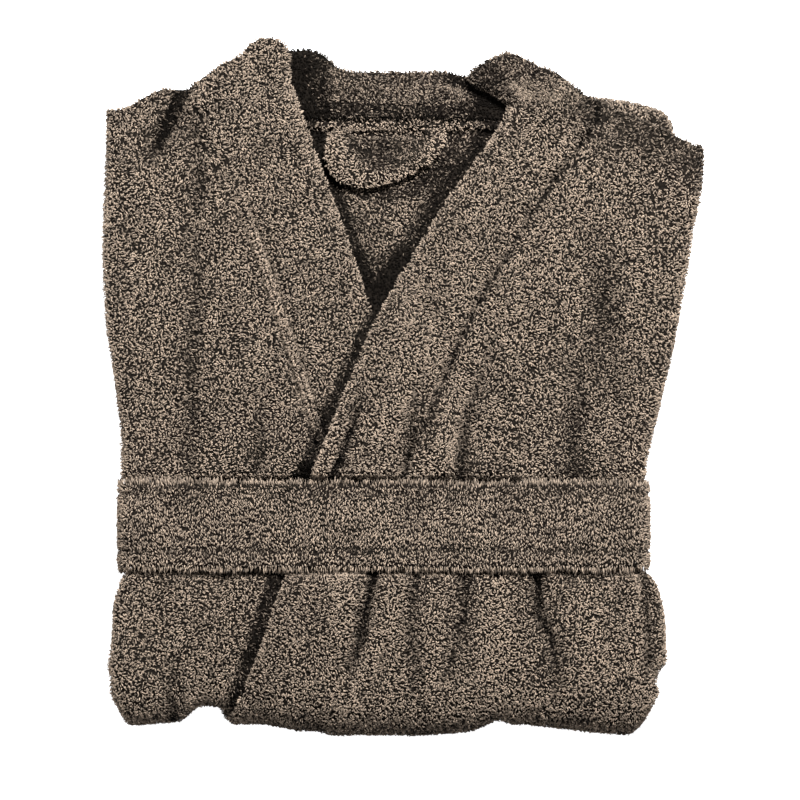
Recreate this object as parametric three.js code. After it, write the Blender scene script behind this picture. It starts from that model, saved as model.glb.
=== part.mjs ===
// A terry bathrobe folded for the shelf, with its belt wound twice around the pack.
// Millimetres, +Z up. The pack lies on z = 0, face up, with its collar towards +Y.
// Left and right in the names are the wearer's. The wearer's left front lies at +X.
//
// The robe is folded like a letter. Level A is the face that shows, from the collar to the
// bottom fold. Level B goes back up beneath everything, face down. Level C comes down again
// inside and ends at the hem. Both sides are folded behind, and the sleeves lie between
// levels C and A.

import * as THREE from 'three';

// ---- Sizes ----

const PACK_WIDTH = 396;
const PACK_LENGTH = 462;
const FABRIC = 3.8; // terry with loops on both faces
const BAND_THICK = 6; // the front bands and collar are pressed double
const BAND_WIDTH = 60;
const GAP = 0.42; // between one layer and the next
const SEAM_GAP = 0.5; // between two pieces that are sewn edge to edge

const BELT_WIDTH = 55;
const BELT_THICK = 4.2; // the belt is a flat tube
const BELT_FROM_BOTTOM = 140; // its midline, above the bottom fold
const BELT_TRAVEL = 3; // how far it slides each way on the pack
const BELT_PROUD = 2.5; // how far its outer turn stands above the pack
const BELT_CORNER = 5;
const BELT_START_X = 20; // the ends lie on the underside
const BELT_RAMP = [60, 25]; // where the first turn steps down to the second
const BELT_END_X = 66;
const FLOOR_GAP = 0.3;

const COLLAR_HEIGHT = 24; // the folded collar that shows behind the neck
const COLLAR_DROP = 22.5; // from the collar tips down to its top edge
const NECK_LEFT = -75;
const NECK_RIGHT = 71;
const NECK_CLEARANCE = 3.5; // between the collar's ends and the front bands
const TAPE_HEIGHT = 13;
const TAPE_THICK = 2.2;

const LOOP_LEFT = -52;
const LOOP_RIGHT = 27;
const LOOP_DROP = 38; // how far the hanger loop hangs below the tape
const LOOP_THICK = 4;
const SLIT_HALF = 22; // half the length of the slit that the hook goes through
const SLIT_HEIGHT = 6;

const CARRIER_WIDTH = 12; // belt loops on the side seams
const CARRIER_LENGTH = 50;
const CARRIER_THICK = 2.4;

const FLAP_RIGHT = 110; // how much of the wearer's left side is folded behind, at +X
const ARMHOLE_DEPTH = 171; // from the collar tips to the foot of the armhole
const CROSSED_DEPTH = 248; // from the collar tips to where the fronts have crossed
const CLIMB_ROOM = 1; // where the left front passes over the right front's band
const SAG_RUN = 24; // the run in which the middle sinks, beside the flap at +X
const SAG_RUN_LEFT = 11;
const SAG_RUN_ARMHOLE = 14;
const FLAP_CLEARANCE = 2; // from a flap's edge to the start of the sinking
const COLLAR_OVERHANG = 36; // how far the collar tips reach past the top fold
const SLEEVE_INSET = 10; // from the side of the pack to the sleeve
const SLEEVE_SPLIT = 8; // from the middle to each sleeve

// Side of the pack: how far each side stands in from the widest place.
const WAIST_LEFT = 18;
const WAIST_RIGHT = 46;

// ---- Heights in the stack, above the face of the back panel that lies against the fronts ----

const HALF_WIDTH = PACK_WIDTH / 2;
const HALF_LENGTH = PACK_LENGTH / 2;
const FRONT = FABRIC + GAP;
const SIDE_TOP = FRONT + FABRIC;
const OVER_PANEL = SIDE_TOP + GAP;
const OVER_BAND = FRONT + BAND_THICK + GAP + CLIMB_ROOM;
const MIDDLE_TOP = Math.max(OVER_PANEL + BAND_THICK, OVER_BAND + FABRIC);

// Side folds turn about a line in the middle of the gap beneath the back panel.
const TURN_HEIGHT = -GAP / 2;
const TURN_X = HALF_WIDTH - (SIDE_TOP - TURN_HEIGHT);
const SAG = SIDE_TOP + GAP;
const SPREAD = MIDDLE_TOP - SIDE_TOP;

const LEVEL_B = MIDDLE_TOP;
const LEVEL_C = LEVEL_B - SPREAD + 2 * SAG + GAP;
const SLEEVE_LOW = LEVEL_C + SIDE_TOP + GAP;
const SLEEVE_THICK = 2 * FABRIC + GAP;
const CARRIER_ROOM = CARRIER_THICK + GAP;
const LEVEL_A = SLEEVE_LOW + SLEEVE_THICK + GAP + CARRIER_ROOM + SAG;
const PACK_HEIGHT = LEVEL_A + Math.max(OVER_BAND + BAND_THICK - SAG, SIDE_TOP);

const BOTTOM_TURN_Y = -HALF_LENGTH + (LEVEL_A - LEVEL_B + SPREAD) / 2 + SIDE_TOP;
const TOP_FOLD_RADIUS = (LEVEL_C - LEVEL_B + SPREAD) / 2 + SIDE_TOP;
const TOP_TURN_Y = HALF_LENGTH - COLLAR_OVERHANG - TOP_FOLD_RADIUS;
const BOTTOM_ARC = 84; // lengths of cloth in the two folds
const TOP_ARC = 34;
const BOTTOM_ARC_STEPS = 6;
const TOP_ARC_STEPS = 5;

// ---- Lines on the garment: [x, distance below the collar tips], and [distance, x] for edges ----

// The left front climbs over the right front's band, between distances from that band's edge.
const CLIMB = [-BAND_WIDTH - 26, -BAND_WIDTH - 5, 20, 36];
const FLAP_RIGHT_X = HALF_WIDTH - FLAP_RIGHT;
const SINK_RIGHT_X = FLAP_RIGHT_X - FLAP_CLEARANCE - SAG_RUN;
const RIGHT_EDGE_LOW = Math.min(24, SINK_RIGHT_X - CLIMB[3] - 2);

const SHOULDER_LINE = [
  [-HALF_WIDTH, 103], [-HALF_WIDTH + 36, 81], [-148, 59], [-140, 35], [-120, 17], [-103, 4],
  [-90, 0], [-77, 5], [66, 11], [77, 13], [117, 37], [HALF_WIDTH - 21, 64], [HALF_WIDTH, 80],
];
const BACK_LINE = [
  [-HALF_WIDTH, 103], [-HALF_WIDTH + 36, 81], [-140, 37], [-108, 12], [-80, 26],
  [50, 26], [75, 16], [117, 39], [HALF_WIDTH - 21, 64], [HALF_WIDTH, 80],
];
const LEFT_FRONT_EDGE = [
  [16, 66], [44, 71], [68, 57], [103, 31], [158, -3], [193, -22], [236, -40], [293, -63],
  [350, -77], [420, -100], [490, RIGHT_EDGE_LOW + CLIMB[0] - BAND_WIDTH],
];
const RIGHT_FRONT_EDGE = [
  [5, -77], [31, -76], [57, -66], [90, -54.5], [129, -40], [156, -31], [180, -23], [251, 0],
  [328, 24],
];

function between(line, at) {
  if (at <= line[0][0]) return line[0][1];
  for (let i = 1; i < line.length; i += 1) {
    const [x0, y0] = line[i - 1];
    const [x1, y1] = line[i];
    if (at <= x1) return y0 + ((y1 - y0) * (at - x0)) / (x1 - x0);
  }
  return line[line.length - 1][1];
}

// ---- Rows: the stations down the robe, shared by every piece so that layers stay nested ----

const BELT_Y = -HALF_LENGTH + BELT_FROM_BOTTOM;
const PRESSED_HALF = BELT_WIDTH / 2 + BELT_TRAVEL + 0.5;
const PRESS_RUN = 10;
const NECK_Y = HALF_LENGTH - 131;
const ARMHOLE_Y = HALF_LENGTH - ARMHOLE_DEPTH;
const BELT_ROWS = [
  BELT_Y + PRESSED_HALF + PRESS_RUN, BELT_Y + PRESSED_HALF,
  BELT_Y - PRESSED_HALF, BELT_Y - PRESSED_HALF - PRESS_RUN,
];
const MIDDLE_Y = Math.max(
  HALF_LENGTH - CROSSED_DEPTH, THREE.MathUtils.lerp(ARMHOLE_Y, BELT_ROWS[0], 0.75),
);
const LOW_Y = (BELT_ROWS[3] + BOTTOM_TURN_Y) / 2;
const ROW_YS = [NECK_Y, ARMHOLE_Y, MIDDLE_Y, ...BELT_ROWS, LOW_Y];
const HEM_Y = BOTTOM_TURN_Y + 3;

const SIDE_INSETS = {
  left: [[BOTTOM_TURN_Y, 5], [LOW_Y, 4], [BELT_ROWS[3], 6], [BELT_ROWS[2], WAIST_LEFT],
    [BELT_ROWS[1], WAIST_LEFT], [BELT_ROWS[0], 12], [MIDDLE_Y, 8], [ARMHOLE_Y, 1], [NECK_Y, 0]],
  right: [[BOTTOM_TURN_Y, 30], [LOW_Y, 25], [BELT_ROWS[3], 32], [BELT_ROWS[2], WAIST_RIGHT],
    [BELT_ROWS[1], WAIST_RIGHT], [BELT_ROWS[0], 39], [MIDDLE_Y, 26], [ARMHOLE_Y, 12], [NECK_Y, 0]],
};

const LEVEL_A_LENGTH = HALF_LENGTH - BOTTOM_TURN_Y;
const LEVEL_B_LENGTH = TOP_TURN_Y - BOTTOM_TURN_Y;
const LEVEL_B_START = LEVEL_A_LENGTH + BOTTOM_ARC;
const LEVEL_C_START = LEVEL_B_START + LEVEL_B_LENGTH + TOP_ARC;

function rowsBelow(top) {
  const neck = HALF_LENGTH - NECK_Y;
  const rows = [top, (2 * top + neck) / 3, (top + 2 * neck) / 3];
  for (const y of ROW_YS) rows.push(HALF_LENGTH - y);
  for (let i = 0; i <= BOTTOM_ARC_STEPS; i += 1) {
    rows.push(LEVEL_A_LENGTH + (BOTTOM_ARC * i) / BOTTOM_ARC_STEPS);
  }
  for (const y of [...ROW_YS].reverse()) rows.push(LEVEL_B_START + y - BOTTOM_TURN_Y);
  for (let i = 0; i <= TOP_ARC_STEPS; i += 1) {
    rows.push(LEVEL_B_START + LEVEL_B_LENGTH + (TOP_ARC * i) / TOP_ARC_STEPS);
  }
  for (const y of [...ROW_YS, HEM_Y]) rows.push(LEVEL_C_START + TOP_TURN_Y - y);
  return rows;
}

// ---- Where the side flaps end and the middle sinks ----

const SINK_LEFT = NECK_LEFT - BAND_WIDTH - 4;
const SINK_LEFT_END = SINK_LEFT - SAG_RUN_LEFT;
const FLAP_LEFT_X = SINK_LEFT_END - FLAP_CLEARANCE;
const ARMHOLE_SINK_X = NECK_RIGHT + BAND_WIDTH + 5;
const ARMHOLE_RIGHT_X = ARMHOLE_SINK_X + SAG_RUN_ARMHOLE + FLAP_CLEARANCE;

function armholeShare(s) {
  const low = HALF_LENGTH - MIDDLE_Y;
  return THREE.MathUtils.clamp((low - s) / (low - ARMHOLE_DEPTH), 0, 1);
}

function rightFlapEdge(s) {
  return THREE.MathUtils.lerp(FLAP_RIGHT_X, ARMHOLE_RIGHT_X, armholeShare(s));
}

function rightSinkEnd(s) {
  return rightFlapEdge(s) - FLAP_CLEARANCE;
}

function rightSinkStart(s) {
  return THREE.MathUtils.lerp(SINK_RIGHT_X, ARMHOLE_SINK_X, armholeShare(s));
}

function sunk(x, s) {
  const right = rightSinkEnd(s);
  if (x > 0) return THREE.MathUtils.clamp((right - x) / (right - rightSinkStart(s)), 0, 1);
  return THREE.MathUtils.clamp((x - SINK_LEFT_END) / SAG_RUN_LEFT, 0, 1);
}

// ---- From the flat garment to the folded pack ----

function foldAlong(x, s, h) {
  const middle = sunk(x, s);
  const faceUp = -SAG * middle;
  const faceDown = SPREAD * (1 - middle);
  if (s <= LEVEL_A_LENGTH) return [HALF_LENGTH - s, LEVEL_A + h + faceUp];
  if (s < LEVEL_B_START) {
    const angle = (Math.PI * (s - LEVEL_A_LENGTH)) / BOTTOM_ARC;
    const radius = (LEVEL_A - LEVEL_B + faceUp + faceDown) / 2 + h;
    const centre = (LEVEL_A + LEVEL_B + faceUp - faceDown) / 2;
    return [BOTTOM_TURN_Y - radius * Math.sin(angle), centre + radius * Math.cos(angle)];
  }
  if (s <= LEVEL_B_START + LEVEL_B_LENGTH) {
    return [BOTTOM_TURN_Y + s - LEVEL_B_START, LEVEL_B - h - faceDown];
  }
  if (s < LEVEL_C_START) {
    const angle = (Math.PI * (s - LEVEL_B_START - LEVEL_B_LENGTH)) / TOP_ARC;
    const radius = (LEVEL_C - LEVEL_B + faceUp + faceDown) / 2 + h;
    const centre = (LEVEL_C + LEVEL_B + faceUp - faceDown) / 2;
    return [TOP_TURN_Y + radius * Math.sin(angle), centre - radius * Math.cos(angle)];
  }
  return [TOP_TURN_Y - (s - LEVEL_C_START), LEVEL_C + h + faceUp];
}

const UNDER_BELT = 2 * (BELT_THICK + GAP) + FLOOR_GAP;
const OVER_BELT = 2 * (BELT_THICK + GAP) - BELT_PROUD;
const PRESS = (PACK_HEIGHT - UNDER_BELT - OVER_BELT) / PACK_HEIGHT;

function pressed(y, z) {
  const away = Math.abs(y - BELT_Y) - PRESSED_HALF;
  const share = 1 - THREE.MathUtils.clamp(away / PRESS_RUN, 0, 1);
  return z + share * (UNDER_BELT + z * PRESS - z);
}

function drawnIn(x, y, s) {
  const sideways = x > 0 ? rightSinkEnd(s) : -SINK_LEFT_END;
  const share = THREE.MathUtils.clamp((Math.abs(x) - sideways) / (TURN_X - sideways), 0, 1);
  const inset = between(x > 0 ? SIDE_INSETS.right : SIDE_INSETS.left, y);
  return x - Math.sign(x) * share * inset;
}

function place(x, s, h, flatX = x) {
  const [y, z] = foldAlong(flatX, s, h);
  return [drawnIn(x, y, s), y, pressed(y, z)];
}

// ---- Closed sheets from a grid of points ----

function closedSheet(columns, rows, point) {
  const wide = columns + 1;
  const count = wide * (rows + 1);
  const positions = [];
  const index = [];
  for (let side = 0; side < 2; side += 1) {
    for (let row = 0; row <= rows; row += 1) {
      for (let column = 0; column <= columns; column += 1) {
        positions.push(...point(column, row, side));
      }
    }
  }
  for (let row = 0; row < rows; row += 1) {
    for (let column = 0; column < columns; column += 1) {
      const a = row * wide + column;
      const b = a + 1;
      const c = b + wide;
      const d = a + wide;
      index.push(a, c, d, a, b, c);
      index.push(count + a, count + d, count + c, count + a, count + c, count + b);
    }
  }
  const rim = [];
  for (let row = 0; row < rows; row += 1) rim.push(row * wide);
  for (let column = 0; column < columns; column += 1) rim.push(rows * wide + column);
  for (let row = rows; row > 0; row -= 1) rim.push(row * wide + columns);
  for (let column = columns; column > 0; column -= 1) rim.push(column);
  rim.forEach((from, i) => {
    const to = rim[(i + 1) % rim.length];
    index.push(from, to, count + to, from, count + to, count + from);
  });
  const geometry = new THREE.BufferGeometry();
  geometry.setAttribute('position', new THREE.Float32BufferAttribute(positions, 3));
  geometry.setIndex(index);
  return geometry;
}

// A column of a sheet gives its place across the robe at each distance down it. Past a side
// fold, angle says how far around the fold it is.
const TURN_STEPS = 4;

function flatColumn(xAt) {
  return (s) => ({ x: xAt(s), side: 0, angle: 0 });
}

function foldedSide(side, flapEdge) {
  const columns = [];
  for (let i = 0; i <= TURN_STEPS; i += 1) {
    columns.push(() => ({ x: side * TURN_X, side, angle: (Math.PI * i) / TURN_STEPS }));
  }
  columns.push((s) => ({ x: flapEdge(s), side, angle: Math.PI }));
  return columns;
}

function topOf(column, line) {
  let low = 0;
  let high = HALF_LENGTH - NECK_Y;
  for (let i = 0; i < 40; i += 1) {
    const s = (low + high) / 2;
    if (between(line, column(s).x) > s) low = s;
    else high = s;
  }
  return (low + high) / 2;
}

function clothPanel(columns, line, lower, thick) {
  const rows = columns.map((column) => rowsBelow(topOf(column, line)));
  return closedSheet(columns.length - 1, rows[0].length - 1, (i, j, outer) => {
    const s = rows[i][j];
    const { x, side, angle } = columns[i](s);
    const h = lower(x, s) + outer * thick;
    if (!side) return place(x, s, h);
    const radius = h - TURN_HEIGHT;
    const folded = x + side * radius * Math.sin(angle);
    return place(folded, s, TURN_HEIGHT + radius * Math.cos(angle), x);
  });
}

// ---- The garment's edges and the climb of the left front over the right front's band ----

function leftEdge(s) {
  return between(LEFT_FRONT_EDGE, s);
}

function rightEdge(s) {
  return Math.min(between(RIGHT_FRONT_EDGE, s), RIGHT_EDGE_LOW);
}

function leftFrontHeight(x, s) {
  const from = x - rightEdge(s);
  const heights = [OVER_PANEL, OVER_BAND, OVER_BAND, FRONT];
  return between(CLIMB.map((at, i) => [at, heights[i]]), from);
}

function spaced(low, high, wanted) {
  const step = 0.8;
  return wanted.map((x, i) => {
    const least = low + step * (i + 1);
    const most = high - step * (wanted.length - i);
    return Math.min(Math.max(x, least), most);
  });
}

function climbColumns(low, high, more) {
  const wanted = (s) => [...CLIMB.map((at) => rightEdge(s) + at), ...more.map((f) => f(s))];
  return [...CLIMB, ...more].map((_, i) => (
    flatColumn((s) => spaced(low(s), high(s), wanted(s))[i])
  ));
}

// ---- Pieces ----

const TERRY = 0x766958;

function piece(name, geometry) {
  const terry = new THREE.MeshStandardMaterial({ color: TERRY, roughness: 1, metalness: 0 });
  const mesh = new THREE.Mesh(geometry, terry);
  mesh.name = name;
  return mesh;
}

function backPanel() {
  const low = [-108, -80, 20, 45, SINK_RIGHT_X];
  const high = [-108, -80, 45, 75, ARMHOLE_SINK_X];
  const columns = [
    ...foldedSide(-1, () => FLAP_LEFT_X).reverse(),
    flatColumn(() => SINK_LEFT_END),
    flatColumn(() => SINK_LEFT),
    ...low.map((x, i) => flatColumn((s) => THREE.MathUtils.lerp(x, high[i], armholeShare(s)))),
    flatColumn(rightSinkEnd),
    ...foldedSide(1, rightFlapEdge),
  ];
  return piece('back_panel', clothPanel(columns, BACK_LINE, () => 0, FABRIC));
}

function rightFrontPanel() {
  const columns = [
    ...foldedSide(-1, () => FLAP_LEFT_X).reverse(),
    flatColumn(() => SINK_LEFT_END),
    flatColumn(() => SINK_LEFT),
    flatColumn((s) => rightEdge(s) - BAND_WIDTH - SEAM_GAP),
  ];
  return piece('front_panel_right', clothPanel(columns, SHOULDER_LINE, () => FRONT, FABRIC));
}

function rightFrontBand() {
  const columns = [BAND_WIDTH, BAND_WIDTH / 2, 13, 0].map((inward) => (
    flatColumn((s) => rightEdge(s) - inward)
  ));
  return piece('front_band_right', clothPanel(columns, SHOULDER_LINE, () => FRONT, BAND_THICK));
}

function leftFrontPanel() {
  const seam = (s) => leftEdge(s) + BAND_WIDTH + SEAM_GAP;
  const columns = [
    flatColumn(seam),
    ...climbColumns(seam, rightSinkEnd, [rightSinkStart]),
    flatColumn(rightSinkEnd),
    ...foldedSide(1, rightFlapEdge),
  ];
  return piece('front_panel_left', clothPanel(columns, SHOULDER_LINE, leftFrontHeight, FABRIC));
}

function leftFrontBand() {
  const seam = (s) => leftEdge(s) + BAND_WIDTH;
  const columns = [
    flatColumn(leftEdge),
    ...climbColumns(leftEdge, seam, []),
    flatColumn(seam),
  ];
  return piece('front_band_left', clothPanel(columns, SHOULDER_LINE, leftFrontHeight, BAND_THICK));
}

// A sleeve is a flat tube that lies straight down the back from the armhole.
function sleeve(name, side) {
  const inner = SLEEVE_SPLIT;
  const outer = HALF_WIDTH - SLEEVE_INSET;
  const top = side > 0 ? HALF_LENGTH - 83 : HALF_LENGTH - 106;
  const low = BOTTOM_TURN_Y + 8;
  const section = new THREE.Shape([
    new THREE.Vector2(inner, SLEEVE_LOW),
    new THREE.Vector2(outer, SLEEVE_LOW),
    new THREE.Vector2(outer, SLEEVE_LOW + SLEEVE_THICK),
    new THREE.Vector2(inner, SLEEVE_LOW + SLEEVE_THICK),
  ]);
  section.holes.push(new THREE.Path([
    new THREE.Vector2(inner + FABRIC, SLEEVE_LOW + FABRIC),
    new THREE.Vector2(inner + FABRIC, SLEEVE_LOW + FABRIC + GAP),
    new THREE.Vector2(outer - FABRIC, SLEEVE_LOW + FABRIC + GAP),
    new THREE.Vector2(outer - FABRIC, SLEEVE_LOW + FABRIC),
  ]));
  const stations = [top, NECK_Y, ...ROW_YS.slice(1), low];
  const geometry = new THREE.ExtrudeGeometry(section, {
    depth: 1, steps: stations.length - 1, bevelEnabled: false,
  });
  geometry.deleteAttribute('normal');
  geometry.deleteAttribute('uv');
  const position = geometry.attributes.position;
  for (let i = 0; i < position.count; i += 1) {
    const step = Math.round(position.getZ(i) * (stations.length - 1));
    const y = stations[step];
    const rise = step < 2 ? CARRIER_ROOM : 0;
    const x = drawnIn(side * position.getX(i), y, HALF_LENGTH - y);
    position.setXYZ(i, x, y, pressed(y, position.getY(i) + rise));
  }
  if (side < 0) turnOutward(geometry);
  return piece(name, geometry);
}

function turnOutward(geometry) {
  const position = geometry.attributes.position;
  for (let i = 0; i < position.count; i += 3) {
    const [x, y, z] = [position.getX(i), position.getY(i), position.getZ(i)];
    position.setXYZ(i, position.getX(i + 1), position.getY(i + 1), position.getZ(i + 1));
    position.setXYZ(i + 1, x, y, z);
  }
}

const MIDDLE_FACE = LEVEL_A - SAG + FRONT;
const COLLAR_TOP_Y = HALF_LENGTH - COLLAR_DROP;
const TAPE_TOP_Y = COLLAR_TOP_Y - COLLAR_HEIGHT - SEAM_GAP;
const TAPE_LOW_Y = TAPE_TOP_Y - TAPE_HEIGHT;

function neckStrip(name, lowY, topY, thick) {
  const leftAt = (y) => rightEdge(HALF_LENGTH - y) + NECK_CLEARANCE;
  const rightAt = (y) => leftEdge(HALF_LENGTH - y) - NECK_CLEARANCE;
  const outline = new THREE.Shape([
    new THREE.Vector2(leftAt(lowY), lowY),
    new THREE.Vector2(rightAt(lowY), lowY),
    new THREE.Vector2(rightAt(topY), topY),
    new THREE.Vector2(leftAt(topY), topY),
  ]);
  const geometry = new THREE.ExtrudeGeometry(outline, { depth: thick, bevelEnabled: false });
  geometry.translate(0, 0, MIDDLE_FACE);
  return piece(name, geometry);
}

// The hanger loop droops from the tape in a shallow U, with a slit for the hook.
function hangerLoop() {
  const top = TAPE_LOW_Y - SEAM_GAP;
  const middle = (LOOP_LEFT + LOOP_RIGHT) / 2;
  const low = top - LOOP_DROP;
  const slit = top - SLIT_HEIGHT;
  const outline = new THREE.Shape();
  outline.moveTo(LOOP_LEFT + 4, top);
  outline.bezierCurveTo(LOOP_LEFT - 4, top - LOOP_DROP / 2, LOOP_LEFT + 2, low, middle - 12, low);
  outline.bezierCurveTo(middle + 14, low, LOOP_RIGHT, slit - 12, LOOP_RIGHT, top);
  outline.lineTo(middle + SLIT_HALF + 2, top);
  outline.lineTo(middle + SLIT_HALF, slit);
  outline.lineTo(middle - SLIT_HALF, slit);
  outline.lineTo(middle - SLIT_HALF - 2, top);
  outline.closePath();
  const geometry = new THREE.ExtrudeGeometry(outline, {
    depth: LOOP_THICK, bevelEnabled: false, curveSegments: 8,
  });
  geometry.translate(0, 0, MIDDLE_FACE);
  return piece('hanger_loop', geometry);
}

// Belt loops lie on the outer face of the flaps, next to the side seams.
function beltCarrier(name, side) {
  const seam = side > 0 ? FLAP_RIGHT_X + 5 : FLAP_LEFT_X - 5 - CARRIER_WIDTH;
  const middle = HALF_LENGTH - LOW_Y;
  const rows = [middle - CARRIER_LENGTH / 2, middle, middle + CARRIER_LENGTH / 2];
  const top = -SAG - GAP;
  const geometry = closedSheet(1, 2, (column, row, outer) => (
    place(seam + column * CARRIER_WIDTH, rows[row], top - (1 - outer) * CARRIER_THICK)
  ));
  return piece(name, geometry);
}

// The belt's path round the pressed part of the pack, as points with their outward normals.
function beltLoop() {
  const left = -HALF_WIDTH + WAIST_LEFT - GAP;
  const right = HALF_WIDTH - WAIST_RIGHT + GAP;
  const low = UNDER_BELT - GAP;
  const high = UNDER_BELT + PACK_HEIGHT * PRESS + GAP;
  const corners = [
    [left, low, Math.PI * 1.5], [left, high, Math.PI], [right, high, Math.PI / 2], [right, low, 0],
  ];
  const steps = 4;
  const points = [];
  for (const [x, z, start] of corners) {
    const centreX = x + (x < 0 ? BELT_CORNER : -BELT_CORNER);
    const centreZ = z + (z === low ? BELT_CORNER : -BELT_CORNER);
    for (let i = 0; i <= steps; i += 1) {
      const angle = start - (Math.PI / 2) * (i / steps);
      const normal = [Math.cos(angle), Math.sin(angle)];
      const at = [centreX + BELT_CORNER * normal[0], centreZ + BELT_CORNER * normal[1]];
      points.push({ at, normal });
    }
  }
  return points;
}

function belt() {
  const loop = beltLoop();
  const low = UNDER_BELT - GAP;
  const under = (x, out) => ({ at: [x, low], normal: [0, -1], out });
  const step = BELT_THICK + GAP;
  const path = [
    under(BELT_START_X, 0),
    ...loop.map((point) => ({ ...point, out: 0 })),
    under(BELT_RAMP[0], 0),
    under(BELT_RAMP[1], step),
    ...loop.map((point) => ({ ...point, out: step })),
    under(BELT_END_X, step),
  ];
  const half = BELT_WIDTH / 2;
  const geometry = closedSheet(1, path.length - 1, (column, row, outer) => {
    const { at, normal, out } = path[row];
    const reach = out + outer * BELT_THICK;
    const y = BELT_Y + (column ? half : -half);
    return [at[0] + normal[0] * reach, y, at[1] + normal[1] * reach];
  });
  return piece('belt', geometry);
}

// ---- Assembly ----

const group = new THREE.Group();
group.add(
  backPanel(),
  rightFrontPanel(),
  rightFrontBand(),
  leftFrontPanel(),
  leftFrontBand(),
  sleeve('sleeve_left', 1),
  sleeve('sleeve_right', -1),
  neckStrip('collar_back', TAPE_TOP_Y + SEAM_GAP, COLLAR_TOP_Y, BAND_THICK),
  neckStrip('neck_tape', TAPE_LOW_Y, TAPE_TOP_Y, TAPE_THICK),
  hangerLoop(),
  beltCarrier('belt_loop_left', 1),
  beltCarrier('belt_loop_right', -1),
  belt(),
);

// The origin is the middle of the underside.
const box = new THREE.Box3().setFromObject(group);
const centre = box.getCenter(new THREE.Vector3());
group.position.set(-centre.x, -centre.y, -box.min.z);

export default group;
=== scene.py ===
"""A terry bathrobe folded for the shelf, seen from straight above.

The cloth follows the same folding as the CAD part: a point of the flat garment is given by
x across, s down from the collar tips and h up through the layers, in millimetres, and
place() puts it in the folded pack. Fine creases, edges and the terry pile are added here.
"""

import math

import bpy
import numpy as np
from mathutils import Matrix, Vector
from mathutils.bvhtree import BVHTree


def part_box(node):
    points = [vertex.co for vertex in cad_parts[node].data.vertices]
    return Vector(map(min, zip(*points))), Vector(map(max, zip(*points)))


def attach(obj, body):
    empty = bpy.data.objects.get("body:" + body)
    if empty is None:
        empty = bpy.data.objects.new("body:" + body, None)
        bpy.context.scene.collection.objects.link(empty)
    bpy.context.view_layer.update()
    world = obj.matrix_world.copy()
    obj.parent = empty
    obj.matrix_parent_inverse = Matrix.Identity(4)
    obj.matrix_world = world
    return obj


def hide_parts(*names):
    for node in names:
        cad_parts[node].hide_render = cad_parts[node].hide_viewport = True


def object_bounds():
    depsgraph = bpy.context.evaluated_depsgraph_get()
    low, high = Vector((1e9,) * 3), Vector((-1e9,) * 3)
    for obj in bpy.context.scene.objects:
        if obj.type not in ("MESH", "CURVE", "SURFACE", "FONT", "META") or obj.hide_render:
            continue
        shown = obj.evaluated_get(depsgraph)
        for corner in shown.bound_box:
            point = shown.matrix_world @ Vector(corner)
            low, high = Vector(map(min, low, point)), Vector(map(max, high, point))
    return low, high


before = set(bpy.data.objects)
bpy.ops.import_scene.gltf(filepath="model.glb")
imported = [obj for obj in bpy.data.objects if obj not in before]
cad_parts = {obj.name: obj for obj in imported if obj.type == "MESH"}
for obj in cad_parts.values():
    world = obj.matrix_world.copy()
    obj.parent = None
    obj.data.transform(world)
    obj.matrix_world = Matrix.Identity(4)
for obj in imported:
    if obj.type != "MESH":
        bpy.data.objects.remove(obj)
CAD_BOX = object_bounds()
RANDOM = np.random.default_rng(7)
MM = 0.001


def cad_box(name):
    return [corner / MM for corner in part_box(name)]


# ---- Sizes, in millimetres, as in the CAD part ----

HALF_WIDTH = (CAD_BOX[1].x - CAD_BOX[0].x) / 2 / MM
HALF_LENGTH = (CAD_BOX[1].y - CAD_BOX[0].y) / 2 / MM
BELT_BOX = cad_box("belt")
BELT_Y = (BELT_BOX[0].y + BELT_BOX[1].y) / 2
BELT_WIDTH = BELT_BOX[1].y - BELT_BOX[0].y

FABRIC = 3.8
BAND_THICK = 6.0
BAND_WIDTH = 60.0
GAP = 0.42  # between layers that touch
SEAM_GAP = 0.15
BELT_THICK = 4.2
STITCHES = (21.0, -16.5)  # rows of topstitching, from the belt's middle
BELT_PROUD = 2.5
BELT_CORNER = 5.0
FLOOR_GAP = 0.3
CARRIER_WIDTH, CARRIER_LENGTH, CARRIER_THICK = 12.0, 50.0, 2.4  # the loops that hold the belt
CARRIER_ROOM = CARRIER_THICK + GAP
CLIMB_ROOM = 1.0
ARMHOLE_DEPTH = 171.0
CROSSED_DEPTH = 248.0

FRONT = FABRIC + GAP
SIDE_TOP = FRONT + FABRIC
OVER_PANEL = SIDE_TOP + GAP
OVER_BAND = FRONT + BAND_THICK + GAP + CLIMB_ROOM
MIDDLE_TOP = OVER_BAND + FABRIC
TURN_HEIGHT = -GAP / 2
TURN_X = HALF_WIDTH - (SIDE_TOP - TURN_HEIGHT)
SAG = SIDE_TOP + GAP
SPREAD = MIDDLE_TOP - SIDE_TOP
LEVEL_B = MIDDLE_TOP
LEVEL_C = LEVEL_B - SPREAD + 2 * SAG + GAP
SLEEVE_LOW = LEVEL_C + SIDE_TOP + GAP
SLEEVE_THICK = 2 * FABRIC + GAP
LEVEL_A = SLEEVE_LOW + SLEEVE_THICK + GAP + CARRIER_ROOM + SAG
PACK_HEIGHT = LEVEL_A + OVER_BAND + BAND_THICK - SAG
MIDDLE_FACE = LEVEL_A - SAG + FRONT

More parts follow.
